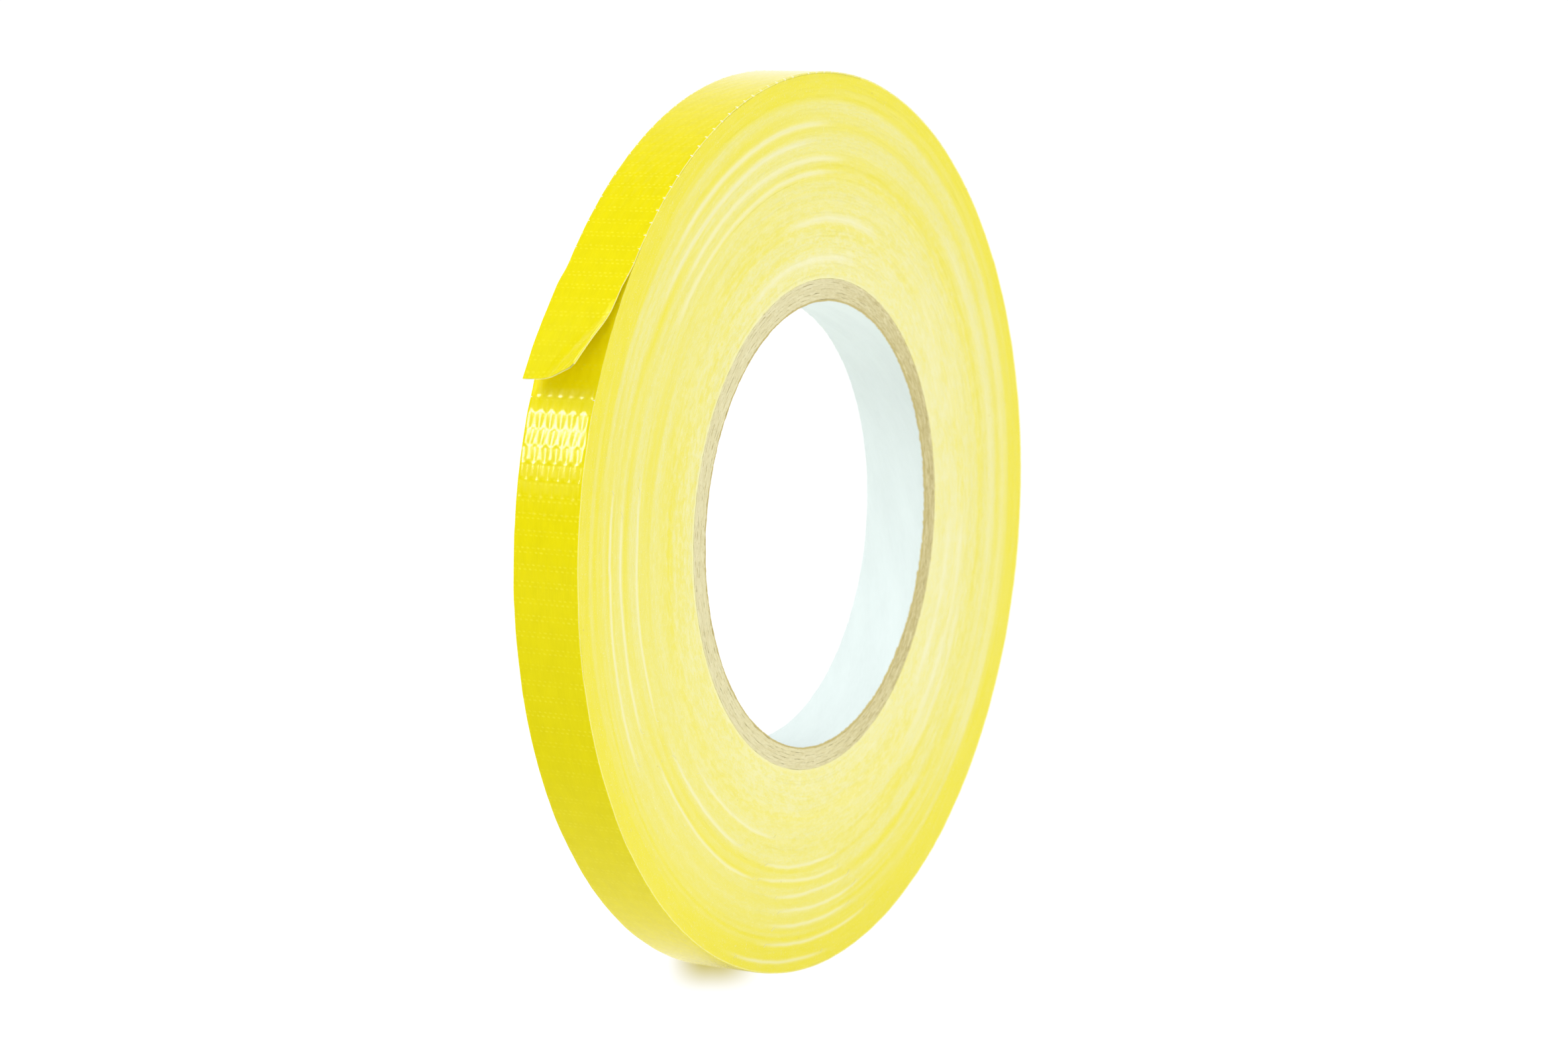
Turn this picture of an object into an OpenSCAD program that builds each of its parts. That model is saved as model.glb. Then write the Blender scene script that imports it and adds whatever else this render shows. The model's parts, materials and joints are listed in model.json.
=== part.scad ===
// Narrow roll of polyethylene-coated cloth tape on a laminated board core, standing on its rim.
// The origin is the centre of the core's bore, at mid-width. The roll's axis is Y, and Z is up.
// Angles go counter-clockwise from +X as seen from the front, which is the -Y side.
// The tape is wound clockwise, so its loose end points counter-clockwise and opens outward.

/* [Core] */
// Bore of the core, across: the standard three inch size
bore_d = 76.2; // [70:0.1:82]
// Wall of the whole core, from the bore to the first turn of tape
core_wall = 3.8; // [3:0.1:5]
// Thickness of the white paper liner inside the bore
liner_t = 0.3; // [0.2:0.05:0.5]
// Thickness of the glue line between two plies
glue_t = 0.02; // [0.01:0.01:0.05]
// Width of the gap where the two edges of a ply's strip butt together
seam_w = 0.12; // [0.1:0.02:0.3]
// Slant of the butt seams, measured from the roll's axis, in degrees
seam_slant = 67; // [50:1:70]
// Angle of the liner's seam around the bore, in degrees
seam_start = 43; // [0:1:359]

/* [Tape] */
// Width of the tape, which is the width of the roll
tape_w = 11.8; // [9:0.1:25]
// Thickness of the glossy outer film
film_t = 0.08; // [0.05:0.01:0.12]
// Thickness of the woven cloth
cloth_t = 0.09; // [0.06:0.01:0.15]
// Thickness of the adhesive
adhesive_t = 0.07; // [0.05:0.01:0.1]
// Air left between two turns
turn_gap = 0.02; // [0.01:0.01:0.04]
// Length of tape on the roll, in metres
tape_length = 50; // [10:1:50]

/* [Loose end] */
// Angle around the roll of the cut end when it is pressed down
cut_angle = 157.5; // [120:0.5:170]
// Length of the loose end, from its hinge line to the cut
loose_length = 23.4; // [15:0.1:30]
// How far the loose end stands open, in degrees
loose_open = 7; // [0:0.1:60]
// Length of the stretch behind the loose end that peels away, for each of its hinge lines
peel_length = 20; // [10:0.5:22]
// Turned-up corner: where its crease meets the front edge, measured from the cut
corner_length = 11.7; // [4:0.1:14]
// Turned-up corner: where its crease meets the cut, measured from the front edge
corner_width = 7.6; // [3:0.1:9]
// How far the corner is turned up, in degrees
corner_open = 35; // [0:1:60]

/* [Hidden] */
// Facets of a full circle
$fn = 180;
ply_count = 6;
peel_count = 4;
layers = ["film", "cloth", "adhesive"];

// Gap between the film, the cloth and the adhesive, and across a crease or a hinge line
bond_gap = 0.005;
crease_gap = 0.04;

// Radii of the core
bore_r = bore_d / 2;
core_r = bore_r + core_wall;
ply_t = (core_wall - liner_t) / ply_count;

// One turn adds the tape and the air below it, and the length wound gives the outer radius
layer_t = [film_t, cloth_t, adhesive_t];
tape_t = film_t + cloth_t + adhesive_t;
pitch = tape_t + turn_gap;
outer_r = sqrt(pow(core_r, 2) + tape_length * 1000 * pitch / PI);

// The spiral is drawn as half turns about two centres, a quarter of a pitch to each side of the axis.
// The half turn that starts at the cut has the radius outer_r, and the other is half a pitch smaller.
half_shift = pitch / 4;
far_r = outer_r - pitch / 2;

// Hinge lines, from the loose end's own down to the last one that peels
loose_angle = cut_angle - loose_length / outer_r * 180 / PI;
peel_angle = peel_length / outer_r * 180 / PI;
function peel_start(i) = loose_angle - (peel_count + 1 - i) * peel_angle;

// Angle that the crease gap takes at the outer surface
gap_angle = crease_gap / outer_r * 180 / PI;

// Middle of the corner's crease, as an angle around the roll and a distance from mid-width
crease_angle = cut_angle - corner_length / 2 / outer_r * 180 / PI;
crease_z = (tape_w - corner_width) / 2;
crease_turn = atan2(corner_length, corner_width);

// Colours of the film, the cloth and the adhesive
layer_colors = [[0.96, 0.92, 0.12], [0.97, 0.96, 0.86], [0.93, 0.89, 0.62]];

// Everything is drawn with the roll lying flat, its front face up, and then stood on its rim
module stand() {
    rotate([90, 0, 0]) children();
}

// Flat ring of the roll's width
module ring(r_in, r_out) {
    difference() {
        cylinder(r = r_out, h = tape_w, center = true);
        cylinder(r = r_in, h = tape_w + 1, center = true);
    }
}

// Thin slanted slot through the wall at radius r, which parts a ply's strip at its butt seam
module butt_seam(r, wall, angle) {
    rotate([0, 0, angle])
        translate([r, 0, 0])
            rotate([seam_slant, 0, 0])
                cube([wall + 2, seam_w, 4 * tape_w], center = true);
}

// One strip of paper or board wound round the core and butted at its seam
module core_layer(r_in, r_out, seam_angle) {
    difference() {
        ring(r_in, r_out);
        butt_seam((r_in + r_out) / 2, r_out - r_in, seam_angle);
    }
}

module core_liner() {
    color([0.93, 0.96, 0.95])
        stand() core_layer(bore_r, bore_r + liner_t, seam_start);
}

// Ply 1 lies against the liner, and the seams are staggered round the core
module core_ply(i) {
    r_in = bore_r + liner_t + (i - 1) * ply_t + glue_t;
    color([0.80, 0.76, 0.58])
        stand() core_layer(r_in, r_in + ply_t - glue_t, seam_start + i * 137);
}

// Centre of a half turn: side is 1 for the half that starts at the cut and -1 for the other
module from_centre(side) {
    rotate([0, 0, cut_angle])
        translate([side * half_shift, 0, 0])
            rotate([0, 0, -cut_angle])
                children();
}

// Part of a ring about a half turn's centre, from one angle to the next, wider than the tape by extra
module sector(side, r_in, r_out, a_from, a_to, extra = 0) {
    from_centre(side)
        rotate([0, 0, a_from])
            rotate_extrude(angle = a_to - a_from)
                translate([r_in, -(tape_w + extra) / 2])
                    square([r_out - r_in, tape_w + extra]);
}

// The tape's layers are numbered from the outside: 0 film, 1 cloth, 2 adhesive
function depth(k) = k == 0 ? 0 : depth(k - 1) + layer_t[k - 1];
function layer_in(k) = depth(k) + layer_t[k];
function layer_out(k) = depth(k) + (k == 0 ? 0 : bond_gap);

// Disc bounded by the spiral, lying below the roll's outer surface by a depth
module spiral_disc(below, extra = 0) {
    union() {
        sector(1, 0, outer_r - below, cut_angle - 180, cut_angle, extra);
        sector(-1, 0, far_r - below, cut_angle - 360, cut_angle - 180, extra);
    }
}

// All the turns below the outermost one, with the one-thickness step where the next turn begins
module wound_turns() {
    color([0.95, 0.92, 0.45])
        stand()
            difference() {
                spiral_disc(pitch);
                cylinder(r = core_r + glue_t, h = tape_w + 1, center = true);
            }
}

// The stuck part of the outermost turn: from the last hinge line that peels, over the top and round
// to where it passes under the cut end. The first sector clears the stretch that peels away, and the
// second leaves a gap where the next turn begins
module outer_turn(k) {
    reach = tape_t + turn_gap / 2;
    color(layer_colors[k])
        stand()
            difference() {
                spiral_disc(layer_out(k));
                sector(1, outer_r - 5, outer_r + 1, peel_start(1) - gap_angle, cut_angle, 1);
                spiral_disc(layer_in(k), 1);
                sector(-1, far_r - reach, far_r + 1, cut_angle - 1, cut_angle + gap_angle, 1);
            }
}

// Part of a layer of the outer turn, between two angles in the half turn that starts at the cut
module layer_sector(k, a_from, a_to) {
    sector(1, outer_r - layer_in(k), outer_r - layer_out(k), a_from, a_to);
}

// One stretch that peels away, between two hinge lines
module peel(i, k) {
    color(layer_colors[k])
        stand() layer_sector(k, peel_start(i), peel_start(i) + peel_angle - gap_angle);
}

// Opens the loose end about its hinge line, which lies on the outer surface
module open_loose_end() {
    from_centre(1)
        rotate([0, 0, loose_angle])
            translate([outer_r, 0, 0])
                rotate([0, 0, -loose_open])
                    translate([-outer_r, 0, 0])
                        rotate([0, 0, -loose_angle])
                            from_centre(-1)
                                children();
}

// Places children at the middle of the crease: X outward, Y across the crease to the corner,
// Z along the crease
module at_crease() {
    from_centre(1)
        rotate([0, 0, crease_angle])
            translate([outer_r, 0, crease_z])
                rotate([crease_turn, 0, 0])
                    children();
}

// Takes what at_crease() has placed back to where it was
module from_crease() {
    rotate([-crease_turn, 0, 0])
        translate([-outer_r, 0, -crease_z])
            rotate([0, 0, -crease_angle])
                from_centre(-1)
                    children();
}

// Half-space on the corner's side of the crease, set off by a distance
module corner_side(offset_y) {
    reach = 3 * tape_w;
    at_crease()
        translate([-5, offset_y, -reach])
            cube([10, reach, 2 * reach]);
}

module flat_end(k) {
    layer_sector(k, loose_angle, cut_angle);
}

// The loose end without its turned-up corner
module loose_end(k) {
    color(layer_colors[k])
        stand()
            open_loose_end()
                difference() {
                    flat_end(k);
                    corner_side(-crease_gap / 2);
                }
}

// The corner, turned up about its crease on the outer surface
module corner(k) {
    color(layer_colors[k])
        stand()
            open_loose_end()
                at_crease()
                    rotate([0, 0, -corner_open])
                        from_crease()
                            intersection() {
                                flat_end(k);
                                corner_side(crease_gap / 2);
                            }
}

core_liner();
for (i = [1 : ply_count]) {
    core_ply(i);
}
wound_turns();
for (k = [0 : 2]) {
    outer_turn(k);
    for (i = [1 : peel_count]) {
        peel(i, k);
    }
    loose_end(k);
    corner(k);
}
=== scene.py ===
import json
import math

import bpy
import numpy as np
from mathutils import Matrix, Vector


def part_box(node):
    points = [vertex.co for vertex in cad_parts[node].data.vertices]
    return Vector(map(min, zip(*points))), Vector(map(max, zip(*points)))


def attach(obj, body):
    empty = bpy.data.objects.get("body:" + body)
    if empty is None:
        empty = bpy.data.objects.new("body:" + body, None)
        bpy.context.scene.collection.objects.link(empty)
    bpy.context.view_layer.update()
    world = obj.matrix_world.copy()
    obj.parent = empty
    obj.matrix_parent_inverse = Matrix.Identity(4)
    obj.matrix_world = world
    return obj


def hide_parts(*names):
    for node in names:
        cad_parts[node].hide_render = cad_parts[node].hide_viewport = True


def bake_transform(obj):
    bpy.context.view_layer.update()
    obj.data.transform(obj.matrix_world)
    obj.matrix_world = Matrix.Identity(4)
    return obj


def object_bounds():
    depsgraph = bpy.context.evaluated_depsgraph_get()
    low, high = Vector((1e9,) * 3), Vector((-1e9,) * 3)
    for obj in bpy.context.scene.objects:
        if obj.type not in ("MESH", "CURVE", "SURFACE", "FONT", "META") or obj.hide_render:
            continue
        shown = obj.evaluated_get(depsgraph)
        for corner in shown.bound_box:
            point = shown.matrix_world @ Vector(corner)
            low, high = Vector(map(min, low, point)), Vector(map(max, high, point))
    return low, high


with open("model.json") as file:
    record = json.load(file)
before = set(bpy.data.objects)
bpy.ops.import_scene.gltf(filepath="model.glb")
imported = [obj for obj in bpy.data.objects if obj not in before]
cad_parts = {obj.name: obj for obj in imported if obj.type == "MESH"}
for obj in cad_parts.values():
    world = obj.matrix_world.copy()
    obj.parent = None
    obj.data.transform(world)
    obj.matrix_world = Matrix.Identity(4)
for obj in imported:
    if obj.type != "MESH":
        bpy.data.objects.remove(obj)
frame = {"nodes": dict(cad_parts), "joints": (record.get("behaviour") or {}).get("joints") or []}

# A roll of yellow cloth tape stands on its rim, with its loose end lifted and one corner turned up.
# The tape is one strip. A place on it is given by t, the distance back from the cut end; by y, across the
# roll from the front face (-Y) to the back face; and by a depth below the outer face of the outermost turn.
# Lengths are in millimetres until they become Blender's vertices, which are in metres.

MM = 0.001
CAD_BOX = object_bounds()


# ------------ sizes read from the frame

def node_points(node):
    """Vertices of a CAD node at rest, in millimetres."""
    vertices = frame["nodes"][node].data.vertices
    points = np.zeros(3 * len(vertices))
    vertices.foreach_get("co", points)
    return points.reshape(-1, 3) / MM


def radii(node, centre=(0, 0)):
    """Smallest and largest distance of a CAD node's vertices from a centre (x, z)."""
    points = node_points(node)
    distance = np.hypot(points[:, 0] - centre[0], points[:, 2] - centre[1])
    return distance.min(), distance.max()


def circle_through(p, q, r):
    """Centre (x, z) and radius of the circle through three points."""
    rows = 2 * np.array([q - p, r - p])
    centre = np.linalg.solve(rows, [q @ q - p @ p, r @ r - p @ p])
    return centre, np.linalg.norm(centre - p)


JOINTS = {joint["name"]: joint for joint in frame["joints"]}
JOINT_AT = {name: np.array(joint["pos_m"]) / MM for name, joint in JOINTS.items()}
PEEL_JOINTS = sorted(name for name in JOINTS if name.startswith("peel_line"))
PLIES = sorted(node for node in frame["nodes"] if node.startswith("core_ply"))
LAYERS = ("film", "cloth", "adhesive")

# The hinge lines lie on the outer face, in the half turn whose centre is a quarter of a pitch off the axis
HALF_CENTRE, OUTER_R = circle_through(*[JOINT_AT[name][[0, 2]] for name in (
    PEEL_JOINTS[0], PEEL_JOINTS[2], "loose_end_lift")])
PITCH = 4 * np.hypot(*HALF_CENTRE)
CUT_ANGLE = math.atan2(HALF_CENTRE[1], HALF_CENTRE[0])
HALF_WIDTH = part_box("wound_turns")[1].y / MM
CORE_R = radii(PLIES[-1])[1]
TURNS = (OUTER_R - PITCH - CORE_R) / PITCH
FULL_TURN = 2 * math.pi * OUTER_R


def layer_depths(layer):
    """Depths of a layer's outer and inner face."""
    inner, outer = radii("peel_1_" + layer, HALF_CENTRE)
    return OUTER_R - outer, OUTER_R - inner


def back_from_cut(point):
    """Distance t of a point (x, y, z) on the strip's closed outer face."""
    angle = math.atan2(point[2] - HALF_CENTRE[1], point[0] - HALF_CENTRE[0])
    return (CUT_ANGLE - angle) * OUTER_R


DEPTHS = {layer: layer_depths(layer) for layer in LAYERS}
LIFT_AT = JOINT_AT["loose_end_lift"]
PEEL_T = [back_from_cut(JOINT_AT[name]) for name in PEEL_JOINTS]
LOOSE_T = back_from_cut(LIFT_AT)
LOOSE_OPEN = math.radians(-JOINTS["loose_end_lift"]["range_deg"][0])
CORNER_OPEN = math.radians(-JOINTS["corner_turn"]["range_deg"][0])

# Weave of the cloth: 7.5 weft yarns cross a stretch that peels, and 12 warp yarns run along the strip
WEFT = (PEEL_T[2] - PEEL_T[3]) / 7.5
WARP = 2 * HALF_WIDTH / 12
DASH_ROW = 0.13 * WEFT  # distance of a row of dashes from its weft yarn's middle

# The camera's direction from the object, its distance and the point it looks at
VIEW_AZIMUTH = math.radians(-60.2)
VIEW_ELEVATION = math.radians(7.7)
VIEW_DISTANCE = 679.0
VIEW_AIM = np.array([-0.45, 1.05, 0.55])

LOOSE_BEND = 6.6  # length over which the loose end bends, from its hinge line
CORNER_BEND = 4.4  # length over which the corner bends, across its crease
LIP_END = 17.0  # distance from the cut at which the front edge's bead and lift have faded out


# ------------ seeded noise

def ease(x):
    """0 up to x = 0, 1 from x = 1, and a smooth curve between."""
    x = np.clip(x, 0, 1)
    return x * x * (3 - 2 * x)


def noise_1d(x, seed):
    """Smooth noise from -1 to 1 that changes over a distance of about 1."""
    table = np.random.default_rng(seed).uniform(-1, 1, 4096)
    cell = np.floor(x).astype(int)
    blend = ease(x - cell)
    return table[cell % 4096] * (1 - blend) + table[(cell + 1) % 4096] * blend


def noise_2d(x, y, seed):
    """Smooth noise from -1 to 1 over a plane."""
    table = np.random.default_rng(seed).uniform(-1, 1, (256, 256))
    column, row = np.floor(x).astype(int), np.floor(y).astype(int)
    across, up = ease(x - column), ease(y - row)

    def at(i, j):
        return table[(column + i) % 256, (row + j) % 256]

    low = at(0, 0) * (1 - across) + at(1, 0) * across
    high = at(0, 1) * (1 - across) + at(1, 1) * across
    return low * (1 - up) + high * up


# ------------ the strip's shape

def rotate_xz(x, z, about, angle):
    """Rotates points about an axis along +Y through (x, z). A positive angle lifts the strip's end."""
    x, z = x - about[0], z - about[1]
    cos, sin = np.cos(angle), np.sin(angle)
    return about[0] + x * cos + z * sin, about[1] - x * sin + z * cos


def spiral(turned, depth):
    """Points (x, z) of the wound strip after it has turned back from its cut end by an angle."""
    half = np.floor(turned / math.pi)
    side = np.where(half % 2 == 0, 1.0, -1.0)
    radius = OUTER_R - half * PITCH / 2 - depth
    angle = CUT_ANGLE - turned
    return side * HALF_CENTRE[0] + radius * np.cos(angle), side * HALF_CENTRE[1] + radius * np.sin(angle)


def crease_line():
    """Turn of the crease's normal from the strip's forward direction, and its distance from the corner."""
    centre = JOINT_AT["corner_turn"]
    x, z = rotate_xz(centre[0], centre[2], LIFT_AT[[0, 2]], -LOOSE_OPEN)
    turn = math.acos(abs(JOINTS["corner_turn"]["axis"][1]))
    t, y = back_from_cut((x, 0, z)), centre[1]
    return turn, t * math.cos(turn) + (y + HALF_WIDTH) * math.sin(turn)


CREASE_TURN, CREASE_FROM_CORNER = crease_line()
CURL_START = CREASE_FROM_CORNER + CORNER_BEND / 2
CURL_REACH = 20.0  # more than any place on the corner lies past the curl's start


def past_crease(t, y):
    """Distance past the line where the corner begins to curl, towards the corner."""
    return CURL_START - t * math.cos(CREASE_TURN) - (y + HALF_WIDTH) * math.sin(CREASE_TURN)


def curl_profile(distance):
    """Turn of the surface and its way forward and outward, at a distance past the curl's start."""
    steps = np.linspace(0, CURL_REACH, 401)
    turn = CORNER_OPEN * ease(steps / CORNER_BEND)
    middle = (turn[1:] + turn[:-1]) / 2
    forward = np.concatenate([[0], np.cumsum(np.cos(middle) * np.diff(steps))])
    outward = np.concatenate([[0], np.cumsum(np.sin(middle) * np.diff(steps))])
    return [np.interp(distance, steps, values) for values in (turn, forward, outward)]


def near_edge_lip(t, y):
    """Small extra lift of the front edge beside the turned-up corner."""
    return 0.16 * ease(1 - (y + HALF_WIDTH) / 1.3) * ease((LIP_END - t) / 9)


def place(t, y, depth):
    """Points (..., 3) of the strip at rest."""
    x, z = spiral(t / OUTER_R, 0)
    angle = CUT_ANGLE - t / OUTER_R
    out_x, out_z = np.cos(angle), np.sin(angle)
    distance = np.maximum(past_crease(t, y), 0)
    turn, forward, outward = curl_profile(distance)
    outward = outward + near_edge_lip(t, y)
    ahead = np.stack([-out_z * math.cos(CREASE_TURN), np.full_like(x, -math.sin(CREASE_TURN)),
                      out_x * math.cos(CREASE_TURN)], axis=-1)
    out = np.stack([out_x, np.zeros_like(x), out_z], axis=-1)
    normal = out * np.cos(turn)[..., None] - ahead * np.sin(turn)[..., None]
    points = np.stack([x, y, z], axis=-1)
    points = points + ahead * (forward - distance)[..., None] + out * outward[..., None]
    points = points - normal * np.asarray(depth)[..., None]
    lift = LOOSE_OPEN * ease((LOOSE_T - t) / LOOSE_BEND)
    points[..., 0], points[..., 2] = rotate_xz(points[..., 0], points[..., 2], LIFT_AT[[0, 2]], lift)
    return points


# ------------ relief of the film and the layers below

def weave_place(t, y):
    """Place in the weave, counted in weft rows along the strip and in warp columns across it."""
    row = (t - LOOSE_T) / WEFT + 0.5 + 0.03 * noise_1d(t / 9, 31)
    column = (y + HALF_WIDTH) / WARP - 0.5 + 0.10 * noise_1d(t / 14, 32)
    return row, column


def fold(x):
    """0 where x is even and 1 where it is odd, with straight lines between."""
    return np.abs((x + 1) % 2 - 1)


def weave_relief(t, y):
    """Height of the film, 0 to 1, over a plain weave. Between two weft yarns every second warp yarn presses
    through with a facet that narrows to a point, and across a weft yarn the raised warps change places."""
    row, column = weave_place(t, y)
    weft = np.floor(row)
    past = row - weft
    sideways = fold(column + weft + 0.12 * noise_1d(row * 1.3, 37))
    facet = 0.58 * np.clip(1 - past / 0.9, 0, 1)
    ridge = 1 - np.clip((sideways - facet) / (1 - facet), 0, 1)
    share = ease(past / 0.22)
    tilt = 0.5 * noise_2d(weft * 0.77, np.round(column) * 0.61, 45) * (past - 0.5)
    strength = 1 + 0.15 * noise_2d(row * 0.83, column * 0.71, 33)
    return strength * (share * (ridge + tilt) + (1 - share) * sideways)


def weave_dashes(t, y):
    """1 on small dashes where the film stretches over the weave: two dotted rows along each weft yarn. The
    film is painted paler on them, partly as painted highlight where the crests catch light.
    """
    row, column = weave_place(t, y)
    weft = np.round(row)
    off_weft = (row - weft) * WEFT
    off_row = np.abs(off_weft) - DASH_ROW
    off_warp = column + 0.25 * np.sign(off_weft) + 0.1 * noise_1d(row * 3.1, 39)
    strength = 0.65 + 0.35 * noise_2d(weft * 0.73, np.round(column) * 1.37, 38)
    dots = ease(0.55 + 0.75 * np.cos(2 * math.pi * off_warp))
    return strength * np.exp(-(off_row / 0.15) ** 2) * dots


def strip_rows(t_from, t_to):
    """Places along the strip for the rows of a mesh, closer together where the weft yarns' crests are."""
    shares = np.array([-0.5, -0.36, -0.23, -0.13, -0.06, 0.0, 0.06, 0.13, 0.23, 0.36])
    first, last = math.floor((t_from - LOOSE_T) / WEFT) - 1, math.ceil((t_to - LOOSE_T) / WEFT) + 1
    rows = LOOSE_T + (np.arange(first, last + 1)[:, None] + 0.5 + shares).ravel() * WEFT
    inside = rows[(rows > t_from + 0.05) & (rows < t_to - 0.05)]
    return np.concatenate([[t_from], inside, [t_to]])


RELIEF = 0.052  # height of the weave in the film
BEAD = 0.012  # height of the bead along the front edge of the loose end
PRESS_ROOM = 0.13  # room between the loose end, when it is pressed down, and the turn below


def pressed_through(t):
    """Share of the weave's relief: full by the loose end, and pressed flatter round the rest of the roll."""
    from_cut = np.abs((t / OUTER_R + math.pi) % (2 * math.pi) - math.pi)
    return 0.4 + 0.6 * ease((math.radians(48) - from_cut) / math.radians(25))


def edge_fade(y, width=0.35):
    """0 on the strip's edges and 1 further in than a width."""
    return ease((HALF_WIDTH - np.abs(y)) / width)


def film_height(t, y):
    """Film's outer face above its nominal depth, in millimetres."""
    relief = RELIEF * pressed_through(t) * weave_relief(t, y) * edge_fade(y)
    waves = 0.010 * noise_2d(t / 3.1, y / 2.3, 34) + 0.004 * noise_2d(t / 0.9, y / 0.8, 35)
    return relief + waves - 0.02 * (1 - edge_fade(y, 0.2)) + BEAD * edge_bead(t, y)


def edge_bead(t, y):
    """1 on the thickened front edge of the loose end, where the film has curled over the cut cloth."""
    across = (y + HALF_WIDTH - 0.35) / 0.55
    return np.exp(-across ** 2) * ease((LIP_END - t) / 6)


def adhesive_height(t, y):
    """Adhesive's inner face, which shows the cloth's print and small lumps."""
    print_and_lumps = 0.012 * weave_relief(t, -y) + 0.012 * noise_2d(t / 0.8, y / 0.7, 36)
    return print_and_lumps * edge_fade(y) + 0.018 * (1 - edge_fade(y, 0.3))


def sink(t):
    """How far the turn below lies sunk under the loose end, so that the end can be pressed down on it."""
    past_cut = t - FULL_TURN
    return PRESS_ROOM * ease((past_cut + 4) / 3.5) * ease((LOOSE_T + 4 - past_cut) / 4)


def painted_light_under_end(t):
    """1 on the turn below the loose end, where the film is painted brighter: painted light in place of light
    that comes through the end and off its yellow underside.
    """
    past_cut = t - FULL_TURN
    return ease((past_cut + 3.5) / 4) * ease((26 - past_cut) / 6)


def edge_wander(t, side):
    """How far the tape's edge stands proud of the nominal width."""
    return 0.05 * noise_1d(t / 6, 40 + side) + 0.03 * noise_1d(t / 1.7, 42 + side)


# ------------ meshes

def swept(loops):
    """Faces of closed tubes. Loops has the shape (tubes, rings, points in a ring, 3)."""
    tubes, rings, ring_size = loops.shape[:3]
    index = np.arange(tubes * rings * ring_size).reshape(tubes, rings, ring_size)
    following = np.roll(index, -1, axis=2)
    sides = np.stack([index[:, :-1], index[:, 1:], following[:, 1:], following[:, :-1]], axis=-1)
    return loops.reshape(-1, 3), [sides.reshape(-1, 4), index[:, 0], index[:, -1, ::-1]]


def make_piece(name, points, faces, material, slot, sharp=50, **attributes):
    """Mesh object from points in millimetres and a list of arrays of faces."""
    mesh = bpy.data.meshes.new(name)
    sizes = np.concatenate([np.full(len(group), group.shape[1]) for group in faces])
    corners = np.concatenate([group.ravel() for group in faces])
    mesh.vertices.add(len(points))
    mesh.vertices.foreach_set("co", (points * MM).astype(np.float32).ravel())
    mesh.loops.add(len(corners))
    mesh.loops.foreach_set("vertex_index", corners.astype(np.int32))
    mesh.polygons.add(len(sizes))
    mesh.polygons.foreach_set("loop_start", (np.cumsum(sizes) - sizes).astype(np.int32))
    mesh.update(calc_edges=True)
    mesh.polygons.foreach_set("use_smooth", np.ones(len(sizes), bool))
    mesh.set_sharp_from_angle(angle=math.radians(sharp))
    for key, values in attributes.items():
        add_attribute(mesh, key, values)
    mesh.materials.append(material)
    piece = add_object(name, mesh)
    return piece


def add_object(name, data):
    made = bpy.data.objects.new(name, data)
    bpy.context.scene.collection.objects.link(made)
    return made


def add_attribute(mesh, name, values):
    """Value or vector for each vertex, which a material reads by its name."""
    kind, key = ("FLOAT", "value") if values.ndim == 1 else ("FLOAT_VECTOR", "vector")
    attribute = mesh.attributes.new(name, kind, "POINT")
    attribute.data.foreach_set(key, values.astype(np.float32).ravel())


def tubes(paths, radius, sides=5):
    """Closed round threads along paths of shape (threads, points, 3), with a radius at each point."""
    ahead = np.gradient(paths, axis=1)
    ahead /= np.linalg.norm(ahead, axis=2, keepdims=True) + 1e-9
    helper = np.where(np.abs(ahead[..., 1:2]) < 0.8, [0.0, 1.0, 0.0], [1.0, 0.0, 0.0])
    first = np.cross(helper, ahead)
    first /= np.linalg.norm(first, axis=2, keepdims=True) + 1e-9
    second = np.cross(ahead, first)
    around = np.arange(sides) * 2 * math.pi / sides
    ring = first[:, :, None] * np.cos(around)[:, None] + second[:, :, None] * np.sin(around)[:, None]
    return paths[:, :, None] + ring * radius[:, :, None, None]


def join(parts):
    """Joins several (points, faces) into one."""
    points, faces, start = [], [], 0
    for part_points, part_faces in parts:
        points.append(part_points)
        faces.extend(group + start for group in part_faces)
        start += len(part_points)
    return np.concatenate(points), faces


# ------------ materials

def linear(red, green, blue):
    """Linear colour from the usual 0 to 255 values."""
    def channel(value):
        value /= 255
        return value / 12.92 if value <= 0.04045 else ((value + 0.055) / 1.055) ** 2.4
    return (channel(red), channel(green), channel(blue), 1.0)


def feed(tree, socket, value):
    """Gives an input a value, or links another node's output into it."""
    if isinstance(value, bpy.types.NodeSocket):
        tree.links.new(value, socket)
    else:
        socket.default_value = value


def node(tree, kind, inputs=None, **settings):
    """Adds a shader node, with its settings and then its inputs."""
    made = tree.nodes.new("ShaderNode" + kind)
    for key, value in settings.items():
        setattr(made, key, value)
    for key, value in (inputs or {}).items():
        feed(tree, made.inputs[key], value)
    return made


def new_material(name):
    """Material, its node tree, and its main shader."""
    material = bpy.data.materials.new(name)
    material.use_nodes = True
    return material, material.node_tree, material.node_tree.nodes["Principled BSDF"]


def attribute(tree, name, output="Fac"):
    return node(tree, "Attribute", attribute_name=name).outputs[output]


def position(tree):
    return node(tree, "TexCoord").outputs["Object"]


def component(tree, vector, name):
    return node(tree, "SeparateXYZ", {0: vector}).outputs[name]


def along_axis(tree, vector, axis):
    """How far a vector reaches along an axis."""
    return node(tree, "VectorMath", {0: vector, 1: axis}, operation="DOT_PRODUCT").outputs["Value"]


def noise(tree, vector, scale, detail=3.0, roughness=0.55):
    """Noise from 0 to 1 over a vector that is scaled first, by one number or by three."""
    factors = scale if isinstance(scale, tuple) else (scale, scale, scale)
    scaled = node(tree, "VectorMath", {0: vector, 1: factors}, operation="MULTIPLY").outputs[0]
    inputs = {"Vector": scaled, "Scale": 1.0, "Detail": detail, "Roughness": roughness}
    return node(tree, "TexNoise", inputs).outputs["Fac"]


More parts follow.
